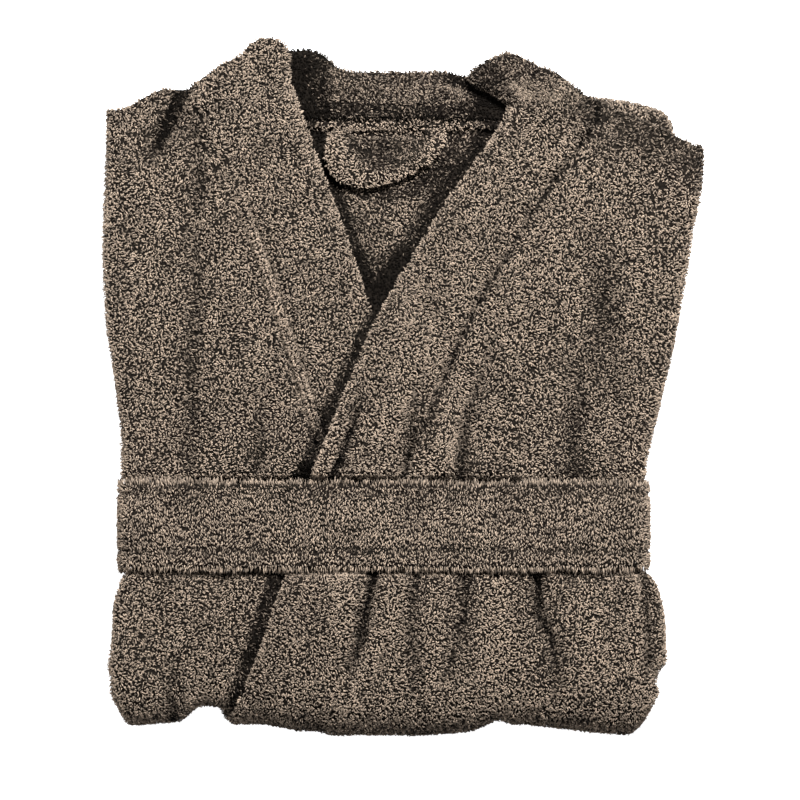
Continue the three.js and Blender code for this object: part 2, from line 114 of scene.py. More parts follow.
BOTTOM_TURN_Y = -HALF_LENGTH + (LEVEL_A - LEVEL_B + SPREAD) / 2 + SIDE_TOP
TOP_TURN_Y = HALF_LENGTH - 36 - (LEVEL_C - LEVEL_B + SPREAD) / 2 - SIDE_TOP
BOTTOM_ARC = 84.0
TOP_ARC = 34.0
SIDE_ARC = 25.0
LEVEL_A_LENGTH = HALF_LENGTH - BOTTOM_TURN_Y
LEVEL_B_START = LEVEL_A_LENGTH + BOTTOM_ARC
LEVEL_C_START = LEVEL_B_START + TOP_TURN_Y - BOTTOM_TURN_Y + TOP_ARC
HEM = LEVEL_C_START + TOP_TURN_Y - (BOTTOM_TURN_Y + 3)

PRESSED_HALF = BELT_WIDTH / 2 + 2.3  # the cloth rises again beside the belt
PRESS_RUN = 5.0
UNDER_BELT = 2 * (BELT_THICK + GAP) + FLOOR_GAP
OVER_BELT = 2 * (BELT_THICK + GAP) - BELT_PROUD
PRESS = (PACK_HEIGHT - UNDER_BELT - OVER_BELT) / PACK_HEIGHT

FLAP_RIGHT_X = HALF_WIDTH - 110
ARMHOLE_X = 152.0  # the right flap reaches no further in beside the armhole
SINK_LEFT = -139.0
SINK_LEFT_END = -150.0
SINK_RIGHT_RUN = 26.0
SINK_ARMHOLE_X = 136.0
FLAP_LEFT_X = -152.0
CLIMB = [-BAND_WIDTH - 26, -BAND_WIDTH - 5, 20, 36]
RIGHT_EDGE_LOW = 24.0

PILE_ROOM = 0.9  # the woven ground lies this far inside the cloth's faces

# Edges of the garment: (down from the collar tips, across).
LEFT_EDGE = [(10, 66), (16, 54), (21, 45), (27, 40), (32, 46), (36, 55), (44, 69), (56, 65),
             (68, 57), (103, 31), (158, -3), (193, -22), (236, -40), (293, -63), (350, -77),
             (420, -100), (455, -112), (490, -122)]
RIGHT_EDGE = [(5, -77), (31, -76), (57, -66), (90, -54.5), (129, -40), (156, -31), (180, -23),
              (251, 0), (328, 24)]
# Where the fronts end at the shoulders: (across, down from the collar tips).
SHOULDER_LINE = [(-198, 50), (-190, 47.5), (-182, 46), (-171, 39), (-160, 34), (-143, 34),
                 (-134, 27), (-120, 17), (-108, 12), (-102, 4), (-95, 1), (-89, 0), (-80, 4),
                 (-76, 10), (-60, 12), (55, 15), (60, 12), (67, 9.5), (77, 13), (88, 19),
                 (100, 23), (109, 30), (117, 37), (148, 51), (177, 64), (187, 69), (194, 74.5),
                 (197, 80), (198, 90)]
BACK_LINE = [(-198, 103), (-162, 81), (-140, 37), (-108, 12), (-80, 26), (50, 26), (75, 16),
             (117, 39), (177, 64), (198, 80)]
# The collar's top edge: (x, y).
COLLAR_TOP = [(-80, 222), (-64, 223), (-54, 220), (-46, 212), (-37, 208.5), (-3, 208),
              (25, 208.5), (37, 206), (45, 202), (70, 198)]
# How far the sides stand in from the widest place: (y, inset).
LEFT_INSETS = [(-222, 9), (-214, 5.5), (-203, 5), (-189, 2.5), (-169, 3.6), (-146, 4.5),
               (-139, 6), (-131, 9), (-123.5, 12), (-120.5, 17), (-119.5, 18), (-62.5, 18),
               (-61.5, 17), (-58.5, 12), (-50, 12), (-43, 12), (-30, 11), (0, 6), (38, 1.5),
               (100, 0)]
RIGHT_INSETS = [(-230, 45), (-224, 40), (-217, 36), (-209, 31), (-200, 33), (-192, 31.5),
                (-187, 27.5), (-181, 24.6), (-156, 25.3), (-147, 26.5), (-139, 28.5), (-131, 31),
                (-123.5, 36), (-120.5, 43), (-119.5, 46), (-62.5, 46), (-61.5, 44),
                (-58.5, 39.5), (-50, 39.5), (-43, 38), (-34, 35.5), (-14, 29.7), (18, 21.8),
                (54, 16.7), (81, 12.5), (104, 9.6), (120, 4.6), (140, 1), (151, 0)]
# How far the bottom fold stands in: (x, inset).
BOTTOM_INSETS = [(-190, 10), (-180, 8), (-157, 10), (-143, 11), (-131, 13.5), (-122, 12),
                 (-113, 7.5), (-93, 7.5), (-73, 3.5), (-49, 0), (-33, 1.5), (10, 1), (44, 3.5),
                 (72, 4), (84, 8), (105, 6), (125, 3.5), (150, 1.5), (157, 4), (165, 8)]
# The same for the top fold of the lower layers.
TOP_INSETS = [(-197, 13), (-182, 9), (-171, 3), (-160, 0), (-140, 0), (118, 1.5), (148, 5),
              (163, 9), (171, 12), (180, 18)]

# Creases and ridges of the upper face: points (x, y), half width and height.
CREASES = [
    ([(-145, 199), (-149, 190), (-157, 172), (-165, 156), (-170, 144)], 5, [-7, -7, -6, -3, 0]),
    ([(-139, 178), (-135.5, 142), (-137.5, 80), (-140, 10), (-142, -50)], 6, -1.9),
    ([(-93, 10), (-95, -25), (-96, -52)], 6, [0, -1.6, -2]),
    ([(-28, 8), (-34, -25), (-42, -45), (-49, -60)], 3.6, [0, -3.4, -4.6, -5]),
    ([(-36, 10), (-43, -22), (-52, -45), (-58, -60)], 4.2, [0, 1.6, 2, 2]),
    ([(32, 40), (1, 10), (-8, -17), (-17, -52)], 5.5, [0.4, 1.6, 1.8, 1.8]),
    ([(14, 14), (6, -11), (4, -30), (0, -55)], 4, [0, -1.8, -2, -2.4]),
    ([(60, 40), (47, 1), (38.5, -30), (36, -58)], 5, [0, -1.8, -2.6, -3.4]),
    ([(50, 40), (32, -17), (23, -52)], 5, [0, 1.6, 1.8]),
    ([(113, 40), (113, 10), (112, -60)], 9, [0, -1.6, -2.4]),
    ([(128, 110), (131, 60), (137, 5)], 12, [0, -2, -1]),
    ([(-41, -117), (-41, -136), (-43, -168)], 5, [1.5, 2.4, 0.5]),
    ([(-18, -112), (-27, -153), (-33, -178), (-40, -196)], 4.4, [-4.5, -4.2, -2.5, 0]),
    ([(-4, -130), (-13, -160), (-22, -184), (-38, -219)], 4.5, [1.5, 2, 1.8, 0.8]),
    ([(-10, -160), (-17, -184), (-25, -202)], 4, [-0.5, -2, -0.5]),
    ([(10, -112), (3, -162), (12, -208)], 5, [-2.6, -1.6, -1.2]),
    ([(17, -150), (16, -205)], 5, [1, 0.8]),
    ([(41, -112), (36, -162), (23, -206)], 5.5, [-3, -2.2, -0.8]),
    ([(62, -120), (58, -200)], 8, [1.6, 0.8]),
    ([(87, -112), (89, -149), (98, -171), (101, -204)], 5, [-4, -4.4, -3, -1.6]),
    ([(111, -112), (112, -135)], 6, [-3, 0]),
    ([(120, -140), (125, -190)], 9, [1.2, 0.6]),
    ([(147, -114), (152, -160), (150, -198)], 4, [1.4, 1.6, 0.6]),
    ([(157, -125), (160, -150), (161, -184)], 4, [-2.6, -2, -2.4]),
    ([(-118, -115), (-119, -140)], 6, [-2.6, 0]),
    ([(-154, -180), (-153, -222)], 5, [-1.2, -2.6]),
    ([(-3, 128), (-8, 104)], 5, [1.2, 0.6]),
    ([(-67, -56), (-63, -62)], 7, [-3, -3]),
]
CREASE_DEPTH = 2.0  # times the heights above


def line(points, at):
    """Straight runs between points (at, value)."""
    points = np.array(points, float)
    return np.interp(at, points[:, 0], points[:, 1])


def ease(low, high, at):
    t = np.clip((at - low) / (high - low), 0, 1)
    return t * t * (3 - 2 * t)


def quarter_round(share):
    """The profile of a rounded edge: 0 at the edge and 1 where share reaches 1."""
    return np.sqrt(1 - (1 - np.clip(share, 0, 1)) ** 2)


def waves(x, y, size, seed):
    """Smooth noise from -1 to 1, with hills about size apart."""
    rng = np.random.default_rng(seed)
    total = 0
    for _ in range(5):
        turn, phase = rng.uniform(0, 2 * math.pi, 2)
        pitch = 2 * math.pi / (size * rng.uniform(0.7, 1.5))
        total = total + np.sin((x * math.cos(turn) + y * math.sin(turn)) * pitch + phase)
    return total / 3.2


# ---- Where the side flaps end and the middle sinks ----


def armhole_share(s):
    return np.clip((CROSSED_DEPTH - s) / (CROSSED_DEPTH - ARMHOLE_DEPTH), 0, 1)


def right_flap_edge(s):
    return FLAP_RIGHT_X + (ARMHOLE_X - FLAP_RIGHT_X) * armhole_share(s)


def right_sink_end(s):
    return right_flap_edge(s) - 2


def right_sink_start(s):
    start = FLAP_RIGHT_X - SINK_RIGHT_RUN
    return start + (SINK_ARMHOLE_X - start) * armhole_share(s)


def sunk(x, s):
    end, start = right_sink_end(s), right_sink_start(s)
    right = np.clip((end - x) / (end - start), 0, 1)
    left = np.clip((x - SINK_LEFT_END) / (SINK_LEFT - SINK_LEFT_END), 0, 1)
    return np.where(x > 0, right, left)


def left_edge(s):
    return line(LEFT_EDGE, s)


def right_edge(s):
    return np.minimum(line(RIGHT_EDGE, s), RIGHT_EDGE_LOW)


# ---- From the flat garment to the folded pack ----


def fold_along(x, s, h):
    """The letter fold: level A on top, then B at the bottom, then C between them."""
    middle = sunk(x, s)
    up, down = -SAG * middle, SPREAD * (1 - middle)
    level_b_end = LEVEL_C_START - TOP_ARC
    bottom = np.pi * (s - LEVEL_A_LENGTH) / BOTTOM_ARC
    bottom_radius = (LEVEL_A - LEVEL_B + up + down) / 2 + h
    bottom_centre = (LEVEL_A + LEVEL_B + up - down) / 2
    top = np.pi * (s - level_b_end) / TOP_ARC
    top_radius = (LEVEL_C - LEVEL_B + up + down) / 2 + h
    top_centre = (LEVEL_C + LEVEL_B + up - down) / 2
    where = [s <= LEVEL_A_LENGTH, s < LEVEL_B_START, s <= level_b_end, s < LEVEL_C_START]
    y = np.select(where, [
        HALF_LENGTH - s,
        BOTTOM_TURN_Y - bottom_radius * np.sin(bottom),
        BOTTOM_TURN_Y + s - LEVEL_B_START,
        TOP_TURN_Y + top_radius * np.sin(top),
    ], TOP_TURN_Y - (s - LEVEL_C_START))
    z = np.select(where, [
        LEVEL_A + h + up,
        bottom_centre + bottom_radius * np.cos(bottom),
        LEVEL_B - h - down,
        top_centre - top_radius * np.cos(top),
    ], LEVEL_C + h + up)
    return y, z


def free_of_belt(y):
    """0 under the belt, where the cloth lies flat, and 1 where it may swell and crease."""
    return ease(PRESSED_HALF - 0.3, PRESSED_HALF + 5.5, np.abs(y - BELT_Y))


def pressed(y, z):
    """The layers under the belt are squeezed together to make room for its turns."""
    share = 1 - np.clip((np.abs(y - BELT_Y) - PRESSED_HALF) / PRESS_RUN, 0, 1)
    return z + share * (UNDER_BELT + z * PRESS - z)


def drawn_in(x, y, s):
    """The sides stand in by the insets, from where the middle sinks outwards."""
    sideways = np.where(x > 0, right_sink_end(s), -SINK_LEFT_END)
    share = np.clip((np.abs(x) - sideways) / (TURN_X - sideways), 0, 1)
    inset = np.where(x > 0, line(RIGHT_INSETS, y), line(LEFT_INSETS, y))
    return x - np.sign(x) * share * inset


def crease_height(x, y):
    """How far the upper face stands up: the creases, then the seams of both bands."""
    total = np.zeros(np.shape(x))
    for points, half_width, heights in CREASES:
        points = np.array(points, float)
        heights = np.broadcast_to(np.array(heights, float), (len(points),))
        nearest = np.full(np.shape(x), 1e9)
        height = np.zeros(np.shape(x))
        for (a, b), (ha, hb) in zip(
            zip(points[:-1], points[1:]), zip(heights[:-1], heights[1:])
        ):
            d = b - a
            t = np.clip(((x - a[0]) * d[0] + (y - a[1]) * d[1]) / (d @ d), 0, 1)
            away = np.hypot(x - a[0] - t * d[0], y - a[1] - t * d[1])
            closer = away < nearest
            nearest = np.where(closer, away, nearest)
            height = np.where(closer, ha + (hb - ha) * t, height)
        total += height * np.exp(-((nearest / half_width) ** 2))
    s = HALF_LENGTH - y
    right, left = right_seam(s), left_seam(s)
    shown = ease(14, 30, s)
    seam = (x - right) * 0.93
    total += shown * (0.3 + 0.7 * ease(100, 140, s)) * (x < left_edge(s) - 1) * (
        1.5 * np.exp(-((seam / 1.7) ** 2)) - 1.3 * np.exp(-(((np.abs(seam) - 4) / 1.8) ** 2))
    )
    seam = (x - left) * 0.83
    puckers = 0.65 + 0.35 * np.sin(s * 0.62) * np.sin(s * 0.23 + 1)
    total -= shown * (1 - ease(260, 330, s)) * 2.2 * puckers * np.exp(-((seam / 2.2) ** 2))
    return CREASE_DEPTH * total


def settle(x, y, z):
    """The pack as it lies: its outline, its creases and the way the layers drift apart."""
    upper = ease(41, 47, z)
    lower = 1 - upper
    # The layers at the sides don't lie exactly under each other.
    side = ease(120, 185, np.abs(x))
    drift = waves(y * 0.9, z * 9, 90, 11) * 1.6 * free_of_belt(y)
    x = x + np.sign(x) * side * (drift - 1.2 * lower * free_of_belt(y))
    x = x - ease(120, 180, x) * ease(140, 165, y) * lower * 19
    # The bottom and top folds.
    y = y + line(BOTTOM_INSETS, x) * ease(-165, -215, y)
    y = y - line(TOP_INSETS, x) * ease(150, 185, y) * lower
    # Shoulders slope down onto the layers beneath.
    shoulder = HALF_LENGTH - line(SHOULDER_LINE, x)
    left_drop = ease(-132, -152, x) * ease(shoulder - 52, shoulder + 4, y) * 11
    right_drop = ease(100, 128, x) * ease(shoulder - 24, shoulder + 2, y) * 6.5
    z = z - (left_drop + right_drop) * ease(33, 48, z)
    # The pile and the folding press the upper face into creases.
    top = ease(43, 54, z) * free_of_belt(y)
    soft = 0.55 * waves(x, y, 46, 3) + 0.3 * waves(x, y, 17, 5)
    z = z + top * (crease_height(x, y) + soft)
    z = z + lower * free_of_belt(y) * 0.4 * waves(x, y, 60, 9) * ease(2, 12, z)
    return x, y, z


def folded_x(across):
    """Across is the flat distance from the middle. Past a side fold it goes on along the flap."""
    away = np.abs(across)
    return np.sign(across) * np.where(
        away < TURN_X + SIDE_ARC, np.minimum(away, TURN_X), 2 * TURN_X + SIDE_ARC - away
    )


def place(across, s, h):
    """A point of the flat garment, in the folded pack."""
    side, flat = np.sign(across), folded_x(across)
    angle = np.pi * np.clip((np.abs(across) - TURN_X) / SIDE_ARC, 0, 1)
    radius = h - TURN_HEIGHT
    turned = angle > 0
    x = flat + np.where(turned, side * radius * np.sin(angle), 0)
    height = np.where(turned, TURN_HEIGHT + radius * np.cos(angle), h)
    y, z = fold_along(flat, s, height)
    return np.stack(settle(drawn_in(x, y, s), y, pressed(y, z)), axis=-1)


# ---- Meshes from arrays ----


def link(name, data):
    obj = bpy.data.objects.new(name, data)
    bpy.context.scene.collection.objects.link(obj)
    return obj


def new_object(name, points, faces, materials, indices=None):
    """faces is a list of arrays, each of one number of corners."""
    mesh = bpy.data.meshes.new(name)
    corners = np.concatenate([f.ravel() for f in faces]).astype(np.int32)
    sizes = np.concatenate([np.full(len(f), f.shape[1]) for f in faces]).astype(np.int32)
    starts = np.concatenate([[0], np.cumsum(sizes)[:-1]]).astype(np.int32)
    mesh.vertices.add(len(points))
    mesh.vertices.foreach_set("co", (points * MM).astype(np.float32).ravel())
    mesh.loops.add(len(corners))
    mesh.loops.foreach_set("vertex_index", corners)
    mesh.polygons.add(len(sizes))
    mesh.polygons.foreach_set("loop_start", starts)
    if indices is not None:
        mesh.polygons.foreach_set("material_index", indices.astype(np.int32))
    mesh.polygons.foreach_set("use_smooth", np.ones(len(sizes), bool))
    for material in materials:
        mesh.materials.append(material)
    mesh.update(calc_edges=True)
    mesh.validate()
    return link(name, mesh)


def grid_area(x, y):
    """The area of a grid whose rows run along x, in square metres."""
    return np.abs(np.diff(x, axis=1)[:-1] * np.diff(y, axis=0)[:, :-1]).sum() * MM * MM


class Cloth:
    """A closed sheet, with its flat area and its flat width and length in metres."""

    def __init__(self, name, points, faces, flat_area, flat_size, body):
        self.name, self.body = name, body
        self.points, self.faces = points, faces
        self.flat_area, self.flat_size = flat_area, flat_size

    def corners(self):
        return self.points[self.faces]


def grid_cloth(name, low, high, flat_area, flat_size, body="robe"):
    """A sheet from a grid of points in rows and columns for each face, closed by a rim."""
    rows, columns = low.shape[:2]
    count = rows * columns
    grid = np.arange(count).reshape(rows, columns)
    a, b, c, d = grid[:-1, :-1], grid[:-1, 1:], grid[1:, 1:], grid[1:, :-1]
    upper = np.stack([a, d, c, b], axis=-1).reshape(-1, 4) + count
    lower = np.stack([a, b, c, d], axis=-1).reshape(-1, 4)
    rim = np.concatenate([grid[:-1, 0], grid[-1, :-1], grid[:0:-1, -1], grid[0, :0:-1]])
    after = np.roll(rim, -1)
    sides = np.stack([rim, after, after + count, rim + count], axis=-1)
    points = np.concatenate([low.reshape(-1, 3), high.reshape(-1, 3)])
    faces = np.concatenate([lower, upper, sides])
    return Cloth(name, points, faces, flat_area, flat_size, body)


EDGE_STEPS = [0.5, 1.5, 3.2]  # columns beside a free edge
SEAM_STEPS = [0.9, 1.8, 2.8, 4.0, 5.6]  # and beside a seam
EDGE_SHARE = 0.22  # of the thickness is left at a rounded edge
STRAIGHT = 131.0  # rows from here to the hem run straight across


def spans(parts, s):
    """Columns from parts (from, to, count): one array of across for each column."""
    columns = []
    for start, end, count in parts:
        start, end = start(s), end(s)
        for i in range(count):
            columns.append(start + (end - start) * i / count)
    columns.append(end)
    return columns


def sheet_rows(step_a=3.0, step_b=9.0):
    """Rows down from STRAIGHT: fine on level A and round the folds, coarse on B and C."""
    rows = list(np.arange(STRAIGHT, LEVEL_A_LENGTH, step_a))
    rows += list(np.linspace(LEVEL_A_LENGTH, LEVEL_B_START, 22))[:-1]
    end = LEVEL_C_START - TOP_ARC
    rows += list(np.linspace(LEVEL_B_START, end, round((end - LEVEL_B_START) / step_b)))[:-1]
    rows += list(np.linspace(end, LEVEL_C_START, 12))[:-1]
    rows += list(np.linspace(LEVEL_C_START, HEM - 3.2, round((HEM - LEVEL_C_START) / step_b)))
    rows += [HEM - 1.5, HEM - 0.5, HEM]
    return np.array(rows)


TOP_STEPS = np.concatenate([[0, 0.004, 0.012, 0.026], np.linspace(0.05, 1, 30)[:-1]])


def panel(name, parts, top_line, lower, thick, free=(True, True)):
    """A cloth from the top line to the hem, with columns along parts."""
    rows = sheet_rows()
    count = len(spans(parts, np.array([0.0])))
    low_s, high_s = np.zeros(count), np.full(count, STRAIGHT)
    for _ in range(30):
        s = (low_s + high_s) / 2
        across = np.array([spans(parts, s)[i][i] for i in range(count)])
        above = line(top_line, folded_x(across)) > s
        low_s, high_s = np.where(above, s, low_s), np.where(above, high_s, s)
    top = (low_s + high_s) / 2
    s = np.concatenate([
        top[None] + (STRAIGHT - top[None]) * TOP_STEPS[:, None],
        np.repeat(rows[:, None], count, axis=1),
    ])
    across = np.array([spans(parts, s[:, i])[i] for i in range(count)]).T
    # Free edges are rounded.
    if callable(thick):
        thick = thick(folded_x(across), s)
    radius = thick * 0.62
    edge = np.minimum(s - top[None], HEM - s)
    if free[0]:
        edge = np.minimum(edge, across - across[:, :1])
    if free[1]:
        edge = np.minimum(edge, across[:, -1:] - across)
    half = (thick / 2 - PILE_ROOM) * np.maximum(quarter_round(edge / radius), EDGE_SHARE)
    middle = lower(folded_x(across), s) + thick / 2
    width, length = (across[:, -1] - across[:, 0]).max() * MM, np.ptp(s) * MM
    return grid_cloth(
        name, place(across, s, middle - half), place(across, s, middle + half),
        min(grid_area(across, s), width * length), (width, length),
    )


# ---- Heights of the fronts ----


def lifted(x, s):
    """The fronts hang over the sunk middle of the pack instead of following it down."""
    edge = right_edge(s)
    low_end = np.maximum(left_edge(s), edge + 10)
    at_edge = 0.9 - 0.45 * ease(170, 250, s)
    left = np.clip((x + 145) / (edge + 145), 0, 1)
    right_end = right_sink_end(s)
    right = np.clip((right_end - x) / (right_end - low_end), 0, 1)
    share = np.where(x < edge, left, np.where(x > low_end, right, 1.0))
    fade = 1 - ease(LEVEL_A_LENGTH - 50, LEVEL_A_LENGTH + 16, s)
    return SAG * sunk(x, s) * (1 - (1 - at_edge) * share) * fade * free_of_belt(HALF_LENGTH - s)


def band_thickness(edge, side):
    """A band is full where it is loose and thins to the panel's thickness at its seam."""
    return lambda x, s: FABRIC + (BAND_THICK - FABRIC) * ease(
        0, 12, BAND_WIDTH - side * (x - edge(s))
    )


def rolled(away):
    """The free edge of a band swells into a soft roll. Away is the distance in from the edge."""
    return 2.6 * np.exp(-(((away - 9) / 9) ** 2)) - 1.6 * np.exp(-((away / 4) ** 2))


def right_front_height(x, s):
    roll = rolled(right_edge(s) - x) * (1 - ease(150, 185, s))
    return FRONT + lifted(x, s) + roll


def left_front_height(x, s):
    heights = [OVER_PANEL, OVER_BAND, OVER_BAND, FRONT]
    from_edge = x - right_edge(s)
    shifts = (-4, -2, 0, 2, 4)
    climb = sum(np.interp(from_edge + shift, CLIMB, heights) for shift in shifts) / len(shifts)
    loose = free_of_belt(HALF_LENGTH - s) * (1 - ease(LEVEL_A_LENGTH - 30, LEVEL_A_LENGTH, s))
    return climb + lifted(x, s) + rolled(x - left_edge(s)) * loose


# ---- The pieces ----

LEFT_FLAP_END = -(2 * TURN_X + SIDE_ARC + FLAP_LEFT_X)


def at(value):
    return lambda s: np.full(np.shape(s), float(value))


def edge_in(edge, by):
    return lambda s: edge(s) + by


def right_flap_end(s):
    return 2 * TURN_X + SIDE_ARC - right_flap_edge(s)


LEFT_SIDE = [
    (at(LEFT_FLAP_END), at(-TURN_X - SIDE_ARC), 9),
    (at(-TURN_X - SIDE_ARC), at(-TURN_X), 10),
]
RIGHT_SIDE = [
    (at(TURN_X), at(TURN_X + SIDE_ARC), 10),
    (at(TURN_X + SIDE_ARC), right_flap_end, 14),
]


def run_from(edge, steps, far, count):
    """Columns from an edge or a seam, which has fine ones beside it, across to far."""
    fine = [(edge_in(edge, a), edge_in(edge, b), 1) for a, b in zip([0, *steps[:-1]], steps)]
    return fine + [(edge_in(edge, steps[-1]), far, count)]


def run_to(edge, steps, far, count):
    """The same the other way round, from far to the edge."""
    runs = run_from(edge, [-step for step in steps], far, count)
    return [(end, start, n) for start, end, n in reversed(runs)]


def right_seam(s):
    return right_edge(s) - BAND_WIDTH


def left_seam(s):
    """It runs straight past the turned corner of the band's edge."""
    return BAND_WIDTH + np.where(s < 56, line([(16, 66), (30, 68), (56, 65)], s), left_edge(s))


right_band_middle = edge_in(right_edge, -BAND_WIDTH / 2)
left_band_middle = edge_in(left_edge, BAND_WIDTH / 2)

back_panel = panel(
    "back_panel_cloth",
    LEFT_SIDE + [(at(-TURN_X), at(TURN_X), 96)] + RIGHT_SIDE,
    BACK_LINE, lambda x, s: np.zeros(np.shape(x)), FABRIC,
)
front_panel_right = panel(
    "front_panel_right_cloth",
    LEFT_SIDE + [(at(-TURN_X), at(-140), 20)]
    + run_to(edge_in(right_seam, -SEAM_GAP), SEAM_STEPS, at(-140), 26),
    SHOULDER_LINE, right_front_height, FABRIC, free=(True, False),
)
front_band_right = panel(
    "front_band_right_cloth",
    run_from(right_seam, SEAM_STEPS, right_band_middle, 9)
    + run_to(right_edge, EDGE_STEPS, right_band_middle, 11),
    SHOULDER_LINE, right_front_height, band_thickness(right_edge, -1), free=(False, True),
)
front_panel_left = panel(
    "front_panel_left_cloth",
    run_from(edge_in(left_seam, SEAM_GAP), SEAM_STEPS, at(TURN_X), 74) + RIGHT_SIDE,
    SHOULDER_LINE, left_front_height, FABRIC, free=(False, True),
)
front_band_left = panel(
    "front_band_left_cloth",
    run_from(left_edge, EDGE_STEPS, left_band_middle, 11)
    + run_to(left_seam, SEAM_STEPS, left_band_middle, 9),
    SHOULDER_LINE, left_front_height, band_thickness(left_edge, 1), free=(True, False),
)


def patch(name, x, y, low, high, body="robe"):
    """A closed sheet from grids of plan positions and the heights of its two faces."""
    size = (np.ptp(x) * MM, np.ptp(y) * MM)
    lower = np.stack(settle(x, y, low), axis=-1)
    upper = np.stack(settle(x, y, high), axis=-1)
    return grid_cloth(name, lower, upper, min(grid_area(x, y), size[0] * size[1]), size, body)


def rounded(u, v, width, height, radius):
    """1 in the middle of a sheet, down to EDGE_SHARE at its edges. u and v run from 0 to 1."""
    edge = np.minimum(np.minimum(u, 1 - u) * width, np.minimum(v, 1 - v) * height)
    return np.maximum(quarter_round(edge / radius), EDGE_SHARE)


def fine_steps(count, edge):
    return np.concatenate([[0, edge * 0.15, edge * 0.5], np.linspace(edge, 1 - edge, count),
                           [1 - edge * 0.5, 1 - edge * 0.15, 1]])


def between_lapels(u, y, right_tuck, left_tuck):
    """Across the back of the neck, with both ends tucked under the bands."""
    start = right_edge(HALF_LENGTH - y) - right_tuck
    return start + (left_edge(HALF_LENGTH - y) + left_tuck - start) * u


def collar_back():
    box = cad_box("collar_back")
    v, u = np.meshgrid(fine_steps(14, 0.1), fine_steps(44, 0.02), indexing="ij")
    low_y, high_y = box[0].y - 7.5, box[1].y
    y = high_y + (low_y - high_y) * v
    x = between_lapels(u, y, 7.0, 9.0)
    # Down from the top edge: the roll at the wearer's right stands higher.
    top = line(COLLAR_TOP, x)
    y = top + (low_y - top) * v
    roll = 3.2 * np.sin(np.pi * np.clip(v, 0, 1)) ** 0.8 * ease(0, 0.25, u) * ease(1, 0.72, u)
    dips = -1.6 * ease(0.2, 0.02, u) - 1.6 * ease(0.78, 1, u)
    middle = MIDDLE_FACE + BAND_THICK / 2 + np.maximum(roll + dips, -0.6)
    half = (BAND_THICK / 2 - PILE_ROOM) * rounded(u, v, 150, 30, 1.6)
    return patch("collar_back_cloth", x, y, middle - half, middle + half)


def neck_tape():
    box = cad_box("neck_tape")
    v, u = np.meshgrid(fine_steps(6, 0.15), fine_steps(40, 0.02), indexing="ij")
    y = box[1].y - 7.3 + (box[0].y - box[1].y + 7.3) * v
    x = between_lapels(u, y, 6.0, 7.0)
    thick = box[1].z - box[0].z
    middle = MIDDLE_FACE + thick / 2 + 1.8 * np.sin(np.pi * v) ** 0.7
    half = (thick / 2 - 0.4) * rounded(u, v, 140, 6, 0.8)
    cloth = patch("neck_tape_cloth", x, y, middle - half, middle + half)
    # The collar covers the rest of the tape's width.
    cloth.flat_size = (cloth.flat_size[0], (box[1].y - box[0].y) * MM)
    return cloth


def hanger_loop():
    box = cad_box("hanger_loop")
    top, base = box[1].y, box[0].z
    outer = np.array([(-47, top), (-51.5, 161), (-53, 153), (-50, 143), (-42, 135.5),
                      (-30, 132.6), (-12, 135), (6, 142), (20, 152), (26, 162), (26, top)])
    inner = np.array([(-36, top), (-36, 168.5), (-36, 167), (-35, 165.6), (-31, 164.6),
                      (-20, 164.2), (-8, 163.6), (3, 163.2), (11, 163.6), (13, 166), (13, top)])
    along = np.linspace(0, 1, len(outer))
    v, u = np.meshgrid(fine_steps(12, 0.14), fine_steps(64, 0.02), indexing="ij")

    def curve(points, t):
        steps = np.linspace(0, 1, 161)
        out = []
        for k in range(2):
            raw = np.interp(steps, along, points[:, k])
            padded = np.pad(raw, 9, mode="reflect", reflect_type="odd")
            smooth = np.convolve(padded, np.hanning(21)[1:-1] / np.hanning(21).sum(), "valid")
            out.append(np.interp(t, steps, smooth))
        return out

    outer_x, outer_y = curve(outer, u)
    inner_x, inner_y = curve(inner, u)
    x = inner_x + (outer_x - inner_x) * v
    y = inner_y + (outer_y - inner_y) * v
    # The strap tilts up towards its outer rim and curls over there.
    held = ease(0, 0.14, u) * ease(1, 0.86, u)
    rise = held * (5.4 * ease(0.1, 0.72, v) - 1.3 * ease(0.8, 1, v))
    thick = box[1].z - box[0].z
    middle = base + thick / 2 + rise + 0.2
    half = (thick / 2 - 0.7) * rounded(u, v, 110, 30, 2.5)
    return patch("hanger_loop_cloth", x, y, middle - half, middle + half, "hanger_loop")


